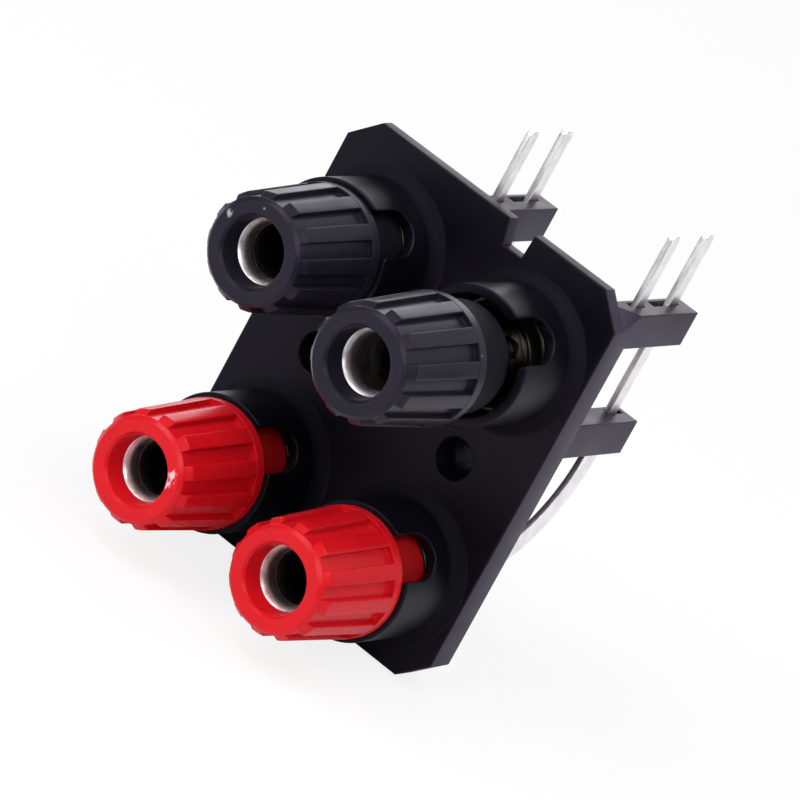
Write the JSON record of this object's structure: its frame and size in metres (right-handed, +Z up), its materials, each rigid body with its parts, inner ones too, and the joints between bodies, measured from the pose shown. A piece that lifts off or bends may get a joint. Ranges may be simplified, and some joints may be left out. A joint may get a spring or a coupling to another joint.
{
  "type": "binding post terminal block",
  "caption": "Moulded plate of binding posts for wires or plugs: ribbed screw knobs in slotted cups, screw holes between the rows, and contact strips bent up to board pins.",
  "frame": {"origin": "midway between the two panel screw holes, on the plate's front face", "axes": "+X across the columns of posts, -Y out of the plate along the posts, +Z up along the board pins"},
  "size_m": [0.0272, 0.0324, 0.0394],
  "materials": {
    "black_plastic": "satin moulded",
    "red_plastic": "satin moulded",
    "nickel": "nickel plated",
    "tinned_metal": "tinned"
  },
  "bodies": {
    "base": {"terminal_body": "black_plastic", "post_black_1": "nickel", "post_black_2": "nickel", "post_red_1": "nickel", "post_red_2": "nickel", "strip_black_1": "tinned_metal", "strip_black_2": "tinned_metal", "strip_red_1": "tinned_metal", "strip_red_2": "tinned_metal", "nut_black_1": "nickel", "nut_black_2": "nickel", "nut_red_1": "nickel", "nut_red_2": "nickel"},
    "bush_black_1": {"bush_black_1": "nickel"},
    "knob_black_1": {"knob_black_1": "black_plastic"},
    "bush_black_2": {"bush_black_2": "nickel"},
    "knob_black_2": {"knob_black_2": "black_plastic"},
    "bush_red_1": {"bush_red_1": "nickel"},
    "knob_red_1": {"knob_red_1": "red_plastic"},
    "bush_red_2": {"bush_red_2": "nickel"},
    "knob_red_2": {"knob_red_2": "red_plastic"}
  },
  "joints": [
    {"name": "travel_black_1", "type": "slide", "parent": "base", "child": "bush_black_1", "axis": [0, -1, 0], "range_m": [0, 0.0055]},
    {"name": "turn_black_1", "type": "hinge", "parent": "bush_black_1", "child": "knob_black_1", "pos_m": [-0.0071, -0.01, 0.0095], "axis": [0, -1, 0], "range_deg": [0, 1980.1]},
    {"name": "travel_black_2", "type": "slide", "parent": "base", "child": "bush_black_2", "axis": [0, -1, 0], "range_m": [-0.0048, 0.0007]},
    {"name": "turn_black_2", "type": "hinge", "parent": "bush_black_2", "child": "knob_black_2", "pos_m": [0.0071, -0.01, 0.0095], "axis": [0, -1, 0], "range_deg": [-1728.1, 252.1]},
    {"name": "travel_red_1", "type": "slide", "parent": "base", "child": "bush_red_1", "axis": [0, -1, 0], "range_m": [0, 0.0055]},
    {"name": "turn_red_1", "type": "hinge", "parent": "bush_red_1", "child": "knob_red_1", "pos_m": [-0.0071, -0.01, -0.0095], "axis": [0, -1, 0], "range_deg": [0, 1980.1]},
    {"name": "travel_red_2", "type": "slide", "parent": "base", "child": "bush_red_2", "axis": [0, -1, 0], "range_m": [0, 0.0055]},
    {"name": "turn_red_2", "type": "hinge", "parent": "bush_red_2", "child": "knob_red_2", "pos_m": [0.0071, -0.01, -0.0095], "axis": [0, -1, 0], "range_deg": [0, 1980.1]}
  ],
  "couplings": [
    {"joint": "turn_black_1", "follows": "travel_black_1", "rad_per_m": 6283.2},
    {"joint": "turn_black_2", "follows": "travel_black_2", "rad_per_m": 6283.2},
    {"joint": "turn_red_1", "follows": "travel_red_1", "rad_per_m": 6283.2},
    {"joint": "turn_red_2", "follows": "travel_red_2", "rad_per_m": 6283.2}
  ]
}
